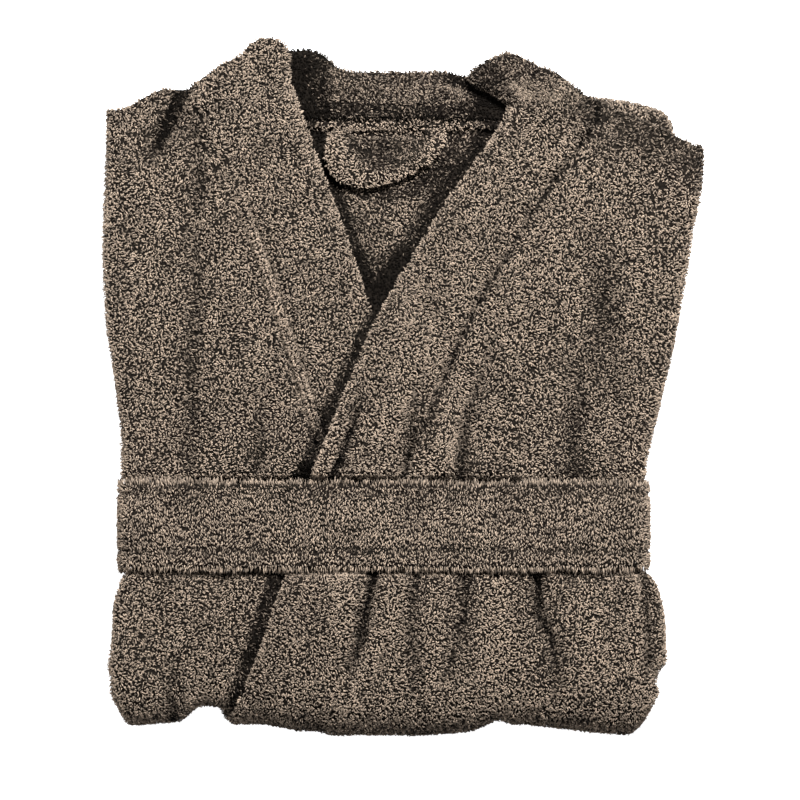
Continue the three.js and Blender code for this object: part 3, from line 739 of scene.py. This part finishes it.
def sleeve(name, side):
    box = cad_box(name)
    low_y, top_y = box[0].y, box[1].y
    inner, outer = 8.0, HALF_WIDTH - 10
    ys = np.linspace(top_y, low_y, 60)
    rise = np.interp(ys, [90, 100, 131], [0, CARRIER_ROOM, CARRIER_ROOM])
    # A flat tube: outer face, then inner face, as one closed skin of revolution.
    around = []
    for inset, sign in ((0.9, 1), (FABRIC - 0.9, -1)):
        half = SLEEVE_THICK / 2 - inset
        a, b = inner + inset, outer - inset
        ring = [(a + half * (1 - math.sin(t)), half * math.cos(t))
                for t in np.linspace(0, math.pi, 7)]
        low_run = [(x, -half) for x in np.linspace(a + half, b - half, 24)[1:-1]]
        far = [(b - half * (1 - math.sin(t)), -half * math.cos(t))
               for t in np.linspace(0, math.pi, 7)]
        high_run = [(x, half) for x in np.linspace(b - half, a + half, 24)[1:-1]]
        around.append(np.array(ring + low_run + far + high_run))
    skins = []
    for section in around:
        x = side * np.repeat(section[None, :, 0], len(ys), axis=0)
        z = SLEEVE_LOW + SLEEVE_THICK / 2 + section[None, :, 1] + rise[:, None]
        y = np.repeat(ys[:, None], section.shape[0], axis=1)
        x = drawn_in(x, y, HALF_LENGTH - y)
        skins.append(np.stack(settle(x, y, pressed(y, z)), axis=-1))
    points = np.concatenate([skin.reshape(-1, 3) for skin in skins])
    count = len(points) // 2
    grid = np.arange(count).reshape(len(ys), -1)
    after = np.roll(grid, -1, axis=1)
    outer_faces = np.stack([grid[:-1], after[:-1], after[1:], grid[1:]], axis=-1).reshape(-1, 4)
    inner_faces = outer_faces[:, [0, 3, 2, 1]] + count
    top_rim = np.stack([after[0], grid[0], grid[0] + count, after[0] + count], axis=-1)
    low_rim = np.stack([grid[-1], after[-1], after[-1] + count, grid[-1] + count], axis=-1)
    faces = np.concatenate([outer_faces, inner_faces, top_rim, low_rim])
    if side < 0:
        faces = faces[:, ::-1]
    width, length = 2 * (outer - inner) * MM, (top_y - low_y) * MM
    return Cloth(name + "_cloth", points, faces, width * length, (width, length), "robe")


def belt_carrier(name, side):
    """A belt loop that lies flat on the outer face of a side flap."""
    seam = FLAP_RIGHT_X + 5 if side > 0 else FLAP_LEFT_X - 17
    box = cad_box(name)
    v, u = np.meshgrid(fine_steps(20, 0.04), fine_steps(4, 0.14), indexing="ij")
    s = HALF_LENGTH - (box[1].y + (box[0].y - box[1].y) * v)
    x = seam + CARRIER_WIDTH * u
    half = (CARRIER_THICK / 2 - 0.2) * rounded(u, v, CARRIER_WIDTH, CARRIER_LENGTH, 1.2)
    middle = -SAG - GAP - CARRIER_THICK / 2
    y, low = fold_along(x, s, middle - half)
    y, high = fold_along(x, s, middle + half)
    x = drawn_in(x, y, s)
    cloth = patch(name + "_cloth", x, y, pressed(y, low), pressed(y, high))
    cloth.flat_size = (CARRIER_WIDTH * MM, CARRIER_LENGTH * MM)
    cloth.flat_area = cloth.flat_size[0] * cloth.flat_size[1]
    return cloth


def belt():
    """Two turns of a flat tube round the pressed part of the pack."""
    left = -HALF_WIDTH + float(line(LEFT_INSETS, BELT_Y)) - GAP
    right = HALF_WIDTH - float(line(RIGHT_INSETS, BELT_Y)) + GAP
    low, high = UNDER_BELT - GAP, UNDER_BELT + PACK_HEIGHT * PRESS + GAP
    step, corner = BELT_THICK + GAP, BELT_CORNER
    centres = [(left + corner, low + corner, 1.5), (left + corner, high - corner, 1.0),
               (right - corner, high - corner, 0.5), (right - corner, low + corner, 0.0)]
    path = []  # x, z, normal x, normal z, how far out

    def straight(a, b, normal, outs):
        count = max(2, round(math.dist(a, b) / 4))
        for i in range(count):
            t = i / count
            path.append((a[0] + (b[0] - a[0]) * t, a[1] + (b[1] - a[1]) * t, *normal,
                         outs[0] + (outs[1] - outs[0]) * t))

    def arc(centre, out):
        x, z, start = centre
        for i in range(7):
            angle = math.pi * (start - 0.5 * i / 7)
            path.append((x + corner * math.cos(angle), z + corner * math.sin(angle),
                         math.cos(angle), math.sin(angle), out))

    def turn(start_x, out, end_x):
        runs = [((start_x, low), (left + corner, low), (0, -1)),
                ((left, low + corner), (left, high - corner), (-1, 0)),
                ((left + corner, high), (right - corner, high), (0, 1)),
                ((right, high - corner), (right, low + corner), (1, 0))]
        for (start, end, normal), centre in zip(runs, centres):
            straight(start, end, normal, (out, out))
            arc(centre, out)
        straight((right - corner, low), (end_x, low), (0, -1), (out, out))

    turn(20, 0, 60)
    straight((60, low), (25, low), (0, -1), (0, step))
    turn(25, step, 66)
    path.append((66, low, 0, -1, step))
    path = np.array(path)
    along = np.concatenate([[0], np.cumsum(np.hypot(*np.diff(path[:, :2], axis=0).T))])
    u, v = np.meshgrid(along / along[-1], fine_steps(22, 0.05), indexing="ij")
    x, z, nx, nz, out = (np.repeat(path[:, k][:, None], v.shape[1], axis=1) for k in range(5))
    outer_turn = ease(0.9, 1.0, out / step)
    upper = ease(0.4, 0.9, nz)
    # The inner turn shows a little past the outer one at the sides.
    shift = 2.6 * (1 - outer_turn) * ease(80, 185, np.abs(x)) * upper
    narrow = 1 - 0.035 * ease(110, 160, x) * outer_turn
    across = (v - 0.5) * BELT_WIDTH
    wander = (0.7 * waves(x, across * 0.2, 70, 21) + 0.3 * waves(x, across * 0, 19, 22))
    y = BELT_Y + across * narrow + shift + wander * np.abs(across) / 27 * ease(0.3, 1, np.abs(nz))
    stitch = sum(np.exp(-(((across - row) / 1.4) ** 2)) for row in STITCHES)
    full = quarter_round((BELT_WIDTH / 2 - np.abs(across)) / 3.2)
    end = np.minimum(u, 1 - u) * along[-1]
    full = np.minimum(full, quarter_round(end / 3))
    half = (BELT_THICK / 2 - 0.7) * np.maximum(full, EDGE_SHARE)
    puff = outer_turn * upper * (0.9 + 0.7 * waves(x, y, 40, 23) + 0.25 * waves(x, y, 14, 24))
    inner_reach = out + BELT_THICK / 2 - half
    outer_reach = out + BELT_THICK / 2 + half * (1 - 0.75 * stitch) + np.maximum(puff, 0) * full
    low_face = np.stack([x + nx * inner_reach, y, z + nz * inner_reach], axis=-1)
    high_face = np.stack([x + nx * outer_reach, y, z + nz * outer_reach], axis=-1)
    length = along[-1] * MM
    return grid_cloth("belt_cloth", low_face, high_face, BELT_WIDTH * MM * length,
                      (BELT_WIDTH * MM, length), "belt")


CLOTHS = {
    "back_panel": back_panel,
    "front_panel_right": front_panel_right,
    "front_band_right": front_band_right,
    "front_panel_left": front_panel_left,
    "front_band_left": front_band_left,
    "sleeve_left": sleeve("sleeve_left", 1),
    "sleeve_right": sleeve("sleeve_right", -1),
    "collar_back": collar_back(),
    "neck_tape": neck_tape(),
    "hanger_loop": hanger_loop(),
    "belt_loop_left": belt_carrier("belt_loop_left", 1),
    "belt_loop_right": belt_carrier("belt_loop_right", -1),
    "belt": belt(),
}

# ---- Materials ----

YARN = np.array([0.212, 0.168, 0.130])


def principled(name, colour, roughness, sheen):
    material = bpy.data.materials.new(name)
    material.use_nodes = True
    shader = material.node_tree.nodes["Principled BSDF"]
    for socket, value in (
        ("Base Color", (*colour, 1)), ("Roughness", roughness), ("Sheen Weight", sheen),
        ("Sheen Roughness", 0.5), ("Specular IOR Level", 0.04),
    ):
        shader.inputs[socket].default_value = value
    material.diffuse_color = (*colour, 1)
    return material, shader


def ground_material():
    """The woven ground between the loops: near black, with rows of loop feet. Its near-black
    colour is painted shade for the deep gaps between loops.
    """
    material, shader = principled("terry_ground", YARN * 0.04, 0.95, 0.0)
    nodes, links = material.node_tree.nodes, material.node_tree.links
    where = nodes.new("ShaderNodeTexCoord")
    cells = nodes.new("ShaderNodeTexVoronoi")
    cells.inputs["Scale"].default_value = 620
    patches = nodes.new("ShaderNodeTexNoise")
    patches.inputs["Scale"].default_value = 60
    patches.inputs["Detail"].default_value = 4
    for texture in (cells, patches):
        links.new(where.outputs["Object"], texture.inputs["Vector"])
    mix = nodes.new("ShaderNodeMath")
    mix.operation = "MULTIPLY"
    links.new(cells.outputs["Distance"], mix.inputs[0])
    links.new(patches.outputs["Fac"], mix.inputs[1])
    ramp = nodes.new("ShaderNodeValToRGB")
    for stop, share, position in zip(ramp.color_ramp.elements, (0.05, 0.015), (0.05, 0.5)):
        stop.color, stop.position = (*(YARN * share), 1), position
    links.new(mix.outputs[0], ramp.inputs["Fac"])
    links.new(ramp.outputs["Color"], shader.inputs["Base Color"])
    bump = nodes.new("ShaderNodeBump")
    bump.inputs["Strength"].default_value = 0.6
    bump.inputs["Distance"].default_value = 0.0008
    bump.invert = True
    links.new(cells.outputs["Distance"], bump.inputs["Height"])
    links.new(bump.outputs["Normal"], shader.inputs["Normal"])
    return material


# The loops' brightnesses from dark to light, as shares of the yarn's colour: drawn at random for
# tone, and pushed to the near-black end for painted shade or to the light end for painted
# highlights.
SHADES = [0.02, 0.24, 0.64, 1.08, 1.55]
GROUND = ground_material()
LOOPS = [
    principled(
        f"terry_loop_{i + 1}",
        YARN * shade * (1, 0.995 - 0.004 * i, 0.99 - 0.008 * i),
        0.85,
        0.05 * min(shade, 1),
    )[0]
    for i, shade in enumerate(SHADES)
]

# ---- Which faces show ----

PITCH = 1.42  # between loops on the upper face
SPARSER = 1.2  # times that on the sides and underneath


def tree_of(names):
    points, faces, start = [], [], 0
    for name in names:
        cloth = CLOTHS[name]
        points.append(cloth.points)
        faces.append(cloth.faces + start)
        start += len(cloth.points)
    return BVHTree.FromPolygons(np.concatenate(points).tolist(), np.concatenate(faces).tolist())


def normals_of(corners):
    n = np.cross(corners[:, 2] - corners[:, 0], corners[:, 3] - corners[:, 1])
    return n / np.maximum(np.linalg.norm(n, axis=1, keepdims=True), 1e-9)


def open_faces(cloth, tree):
    """Faces that look out of the pack in at least one of a few directions."""
    corners = cloth.corners()
    normals = normals_of(corners)
    centres = corners.mean(axis=1) + normals * 1.5
    helper = np.where(np.abs(normals[:, 2:]) < 0.8, [[0, 0, 1.0]], [[1.0, 0, 0]])
    one = np.cross(normals, helper)
    one /= np.linalg.norm(one, axis=1, keepdims=True)
    two = np.cross(normals, one)
    leans = [(0, 0), (1, 0), (-0.5, 0.87), (-0.5, -0.87), (0.45, 0.3)]
    shown = np.zeros(len(normals), bool)
    for a, b in leans:
        todo = np.nonzero(~shown)[0]
        ways = normals[todo] + 1.3 * (a * one[todo] + b * two[todo])
        for i, start, way in zip(todo, centres[todo].tolist(), ways.tolist()):
            if tree.ray_cast(start, way, 90)[0] is None:
                shown[i] = True
    return shown


# ---- The pile ----

MOST_LOOPS = 13500  # in one object
LOOP_LENGTH = (1.8, 2.9)
LOOP_WIDTH = (0.31, 0.46)
MEAN_SHADE, SHADE_SPREAD = 3.05, 0.85  # as places in SHADES, before the painted shade and highlights shift them
LOOP_X, LOOP_Y = -12.5, 170.5  # the middle of the hanger loop's arch


def scatter(corners, pitch):
    """Jittered rows of points on quads: positions, and the number of each one's face."""
    a, b, c, d = (corners[:, i] for i in range(4))
    wide = (np.linalg.norm(b - a, axis=1) + np.linalg.norm(c - d, axis=1)) / 2 / pitch
    tall = (np.linalg.norm(d - a, axis=1) + np.linalg.norm(c - b, axis=1)) / 2 / pitch
    across = np.floor(wide + RANDOM.random(len(wide))).astype(int)
    down = np.floor(tall + RANDOM.random(len(tall))).astype(int)
    places, owners = [], []
    for n, m in sorted(set(zip(across.tolist(), down.tolist()))):
        if n == 0 or m == 0:
            continue
        chosen = np.nonzero((across == n) & (down == m))[0]
        for i in range(n):
            for j in range(m):
                u = ((i + 0.5 + RANDOM.uniform(-0.42, 0.42, len(chosen))) / n)[:, None]
                v = ((j + 0.5 + RANDOM.uniform(-0.42, 0.42, len(chosen))) / m)[:, None]
                top = a[chosen] * (1 - u) + b[chosen] * u
                low = d[chosen] * (1 - u) + c[chosen] * u
                places.append(top * (1 - v) + low * v)
                owners.append(chosen)
    return np.concatenate(places), np.concatenate(owners)


def room_for(name, places):
    """How much of its height a loop may have: less beside the belt, so that the belt can move,
    and on the belt's stitching.
    """
    share = np.ones(len(places))
    if name != "belt":
        away = np.abs(places[:, 1] - BELT_Y)
        share = 0.5 + 0.5 * ease(BELT_WIDTH / 2, BELT_WIDTH / 2 + 4, away)
    stitch = np.zeros(len(places), bool)
    if name == "belt":
        across = places[:, 1] - BELT_Y
        stitch = np.min([np.abs(across - row) for row in STITCHES], axis=0) < 1.3
    return np.where(stitch, 0.35, share)


def near(away, reach):
    """1 on a line and beside it, 0 past reach."""
    return ease(reach, reach * 0.4, np.abs(away))


def painted_shading(name, places):
    """Shifts of the loops' shades that paint in shade and light: darker in creases, folds and
    shadows, lighter on ridges and lit edges.
    """
    x, y, z = places.T
    s = HALF_LENGTH - y
    past_left = left_edge(s) - x
    past_right = x - right_edge(s)
    if name == "belt":
        # Painted shade in the topstitch grooves and along the belt's upper edge, a painted
        # highlight along its lower edge, and slightly darker overall.
        across = y - BELT_Y
        rows = sum(depth * np.exp(-(((across - row) / 1.5) ** 2))
                   for row, depth in zip(STITCHES, (1.0, 1.8)))
        return np.where(across < 0, 0.2, -0.3) * ease(23, 27, np.abs(across)) - rows - 0.15
    if name == "hanger_loop":
        # Painted shade on the strap's inner face and in the slit, and a painted highlight on its
        # rim.
        out = np.hypot((x - LOOP_X) / 39, (y - LOOP_Y) / 38)
        slit = near(y - 168.5 + 0.05 * (x + 10), 3.2) * near(x + 9, 30)
        return -1.7 * ease(0.8, 0.62, out) + 0.5 * ease(0.7, 0.9, out) - 2.5 * slit
    # Painted shade in creases and on the lower layers, and painted highlights on ridges.
    crease = crease_height(x, y)
    upper = z - np.minimum(crease, 0) > 42
    shade = np.where(upper, np.clip(0.42 * crease, -3.0, 0.7), -0.6)
    if name.startswith("front_band"):
        shade = shade - 0.15
    # Painted shade where the bottom fold turns away from the light.
    shade = shade - 0.9 * ease(-198, -226, y)
    # Painted shade near the shoulders: on the lower layers at both top corners and on the top of
    # the lapel at the right, whose slope faces the key light.
    shoulder = HALF_LENGTH - line(SHOULDER_LINE, x)
    top_right = ease(100, 128, x) * ease(shoulder - 42, shoulder - 8, y)
    top_left = ease(-132, -150, x) * ease(shoulder - 60, shoulder - 20, y)
    lapel_top = ease(34, 50, x) * ease(130, 100, x) * ease(shoulder - 42, shoulder - 14, y)
    shade = shade - upper * (1.7 * top_right + 0.5 * top_left + 0.9 * lapel_top)
    if name in ("front_panel_right", "front_band_right"):
        # Painted shadow of the upper front's free edge on the layer beneath it.
        reach = 10 + 6 * ease(150, 290, s)
        shade = shade - upper * (past_left > 0) * 3.0 * near(past_left, reach)
    if name == "front_band_left":
        # Painted shade on the turned-in corner at the lapel's tip.
        turned_in = ease(2, -2, x - 59 - 0.75 * (s - 19)) * (s < 46)
        shade = shade - 1.5 * turned_in
    if name == "front_panel_left":
        # Painted shade along the puckered seam of the band.
        away = (x - left_seam(s)) * 0.83
        puckers = 0.7 + 0.3 * np.sin(s * 0.62)
        line_shade = near(away, 4.2) * puckers * ease(14, 30, s) * (1 - ease(240, 300, s))
        shade = shade - upper * 2.3 * line_shade
    if name in ("back_panel", "neck_tape", "collar_back"):
        # Painted shade in the V of the neck: beside both lapel edges, deeper down the V, over the
        # back panel and collar and at the collar's ends, and a painted shadow round the hanger
        # loop.
        deep = 2.5 * near(past_left, 19) + 2.4 * near(past_right, 12) + 1.6 * ease(132, 158, s)
        even = {"back_panel": 0.5, "neck_tape": 0.0, "collar_back": 1.3}[name]
        ends = 0.0
        if name == "collar_back":
            ends = 1.6 * near(x + 66, 24) + 1.4 * near(x - 62, 26)
            ends = ends + 0.8 * near(y - 181, 9)
        if name == "back_panel":
            beside = np.abs(np.hypot((x - LOOP_X) / 40, (y - LOOP_Y) / 38) - 1.12)
            ends = 1.6 * near(beside, 0.2) * ease(180, 165, y)
        shade = shade - upper * (deep + even + ends)
    return shade


def pile(name, cloth, shown):
    """Bent, blunt loops of yarn that stand on the faces that show."""
    corners = cloth.corners()[shown]
    normals = normals_of(corners)
    # The top of the pack is what shows, so the pile is closest there.
    facing_up = (normals[:, 2] > 0.1) & (corners[:, :, 2].mean(axis=1) > 40)
    pitch = PITCH * np.where(facing_up, 0.92 if name == "belt" else 1, SPARSER)
    places, owners = scatter(corners, pitch)
    n = normals[owners]
    count = len(places)
    helper = np.where(np.abs(n[:, 2:]) < 0.8, [[0, 0, 1.0]], [[0, 1.0, 0]])
    one = np.cross(helper, n)
    one /= np.linalg.norm(one, axis=1, keepdims=True)
    two = np.cross(n, one)
    # Loops lean together in soft swirls, with some disorder.
    swirl = 2.2 * waves(places[:, 0], places[:, 1] + places[:, 2], 24, 31)
    spread = 0.75
    if name == "belt":
        swirl, spread = 1.55 + 0.45 * waves(places[:, 0], places[:, 1], 30, 32), 0.4
        swirl = swirl + np.pi * (RANDOM.random(count) < 0.5)
    angle = swirl + RANDOM.normal(0, spread, count) + np.pi * (RANDOM.random(count) < 0.3)
    sideways = one * np.cos(angle)[:, None] + two * np.sin(angle)[:, None]
    room = room_for(name, places)[:, None]
    length = RANDOM.uniform(*LOOP_LENGTH, (count, 1)) * (0.6 + 0.4 * room)
    tilt = RANDOM.uniform(0.2, 0.85, (count, 1))
    if name == "belt":
        # The loops of the belt's edges stand outwards over the cloth beside them.
        across = (places[:, 1] - BELT_Y)[:, None]
        out = ease(24.5, 27, np.abs(across)) * (n[:, 2:] > -0.2)
        over = np.concatenate([0.6 * sideways[:, :1], np.sign(across), 0 * across], axis=1)
        sideways = sideways * (1 - out) + over * out
        length = length * (1 + out * RANDOM.uniform(0.1, 0.6, (count, 1)))
        tilt = tilt + out * (RANDOM.uniform(0.5, 1.2, (count, 1)) - tilt)
    first = n * np.cos(tilt) * room + sideways * np.sin(tilt)
    second = n * np.cos(tilt + 0.75) * room + sideways * np.sin(tilt + 0.75)
    width = RANDOM.uniform(*LOOP_WIDTH, (count, 1))
    width = width * np.where(facing_up[owners], 1, SPARSER)[:, None]
    foot = places - n * 0.7
    bend = places + first * length * 0.5
    tip = bend + second * length * 0.5
    flank = np.cross(n, sideways)
    spin = RANDOM.uniform(0, 2 * np.pi, (count, 1))
    points = np.empty((count, 9, 3))
    for ring, (centre, way, size) in enumerate(
        ((foot, n, 0.75), (bend, first, 1.1), (tip, second, 0.72))
    ):
        up = np.cross(flank, way)
        up /= np.maximum(np.linalg.norm(up, axis=1, keepdims=True), 1e-9)
        for k in range(3):
            turn = spin + 2 * np.pi * k / 3
            points[:, 3 * ring + k] = centre + width * size * (
                np.cos(turn) * flank + np.sin(turn) * up
            )
    # Three rings of three corners: six quads between them and a cap at each end.
    start = 9 * np.arange(count)[:, None, None]
    quads = [[3 * r + k, 3 * r + (k + 1) % 3, 3 * r + 3 + (k + 1) % 3, 3 * r + 3 + k]
             for r in range(2) for k in range(3)]
    quads = (start + np.array(quads)).reshape(-1, 4)
    caps = (start + np.array([[2, 1, 0], [6, 7, 8]])).reshape(-1, 3)
    # Random patches of tone, plus painted shade and painted highlights in folds, shadows and on
    # ridges.
    tone_and_painted_shade = 0.3 * waves(places[:, 0], places[:, 1], 36, 41) + painted_shading(name, places)
    shade = np.round(RANDOM.normal(MEAN_SHADE + tone_and_painted_shade, SHADE_SPREAD))
    shade = np.clip(shade, 0, len(SHADES) - 1).astype(int)
    return points.reshape(-1, 3), quads, caps, shade


def build():
    still = [name for name in CLOTHS if name != "hanger_loop"]
    tree = tree_of(still)
    for name, cloth in CLOTHS.items():
        base = new_object(cloth.name, cloth.points, [cloth.faces], [GROUND])
        shown = (
            np.ones(len(cloth.faces), bool) if name == "hanger_loop" else open_faces(cloth, tree)
        )
        parts = []
        points, quads, caps, shade = pile(name, cloth, shown)
        for part, first in enumerate(range(0, len(shade), MOST_LOOPS)):
            last = min(first + MOST_LOOPS, len(shade))
            own = shade[first:last]
            parts.append(new_object(
                f"{name}_pile_{part + 1}",
                points[9 * first:9 * last],
                [quads[6 * first:6 * last] - 9 * first, caps[2 * first:2 * last] - 9 * first],
                LOOPS,
                np.concatenate([np.repeat(own, 6), np.repeat(own, 2)]),
            ))
        for obj in [base, *parts]:
            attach(obj, cloth.body)
        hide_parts(name)


build()

# ---- Floor, light and camera ----


def floor():
    half = 3.0 / MM
    corners = half * np.array([(-1, -1, 0), (1, -1, 0), (1, 1, 0), (-1, 1, 0)])
    material, shader = principled("floor_white", (0.9, 0.9, 0.9), 0.9, 0.0)
    shader.inputs["Emission Color"].default_value = (1, 1, 1, 1)
    shader.inputs["Emission Strength"].default_value = 0.95
    new_object("floor", corners, [np.array([[0, 1, 2, 3]])], [material])


def area_light(name, position, size, power):
    light = bpy.data.lights.new(name, "AREA")
    light.shape = "DISK"
    light.size, light.energy = size, power
    obj = link(name, light)
    obj.location = position
    obj.rotation_mode = "QUATERNION"
    obj.rotation_quaternion = (-Vector(position)).to_track_quat("-Z", "Y")


floor()
area_light("key", (0.4, 1.3, 1.95), 0.35, 180)
area_light("fill", (-1.5, 0.6, 1.4), 1.2, 14)
world = bpy.data.worlds.new("studio")
world.use_nodes = True
world.node_tree.nodes["Background"].inputs["Color"].default_value = (1, 1, 1, 1)
world.node_tree.nodes["Background"].inputs["Strength"].default_value = 0.3
bpy.context.scene.world = world
bpy.context.scene.view_settings.view_transform = "Standard"

camera = bpy.data.cameras.new("camera")
DISTANCE, SHOWN_WIDTH, SEEN_PLANE = 8.0, 0.528, 0.05
camera.lens = camera.sensor_width * DISTANCE / SHOWN_WIDTH
camera.clip_end = 100
eye = link("camera", camera)
middle = (CAD_BOX[0] + CAD_BOX[1]) / 2
eye.location = (middle.x - 0.0033, middle.y - 0.0079, DISTANCE + SEEN_PLANE)
bpy.context.scene.camera = eye
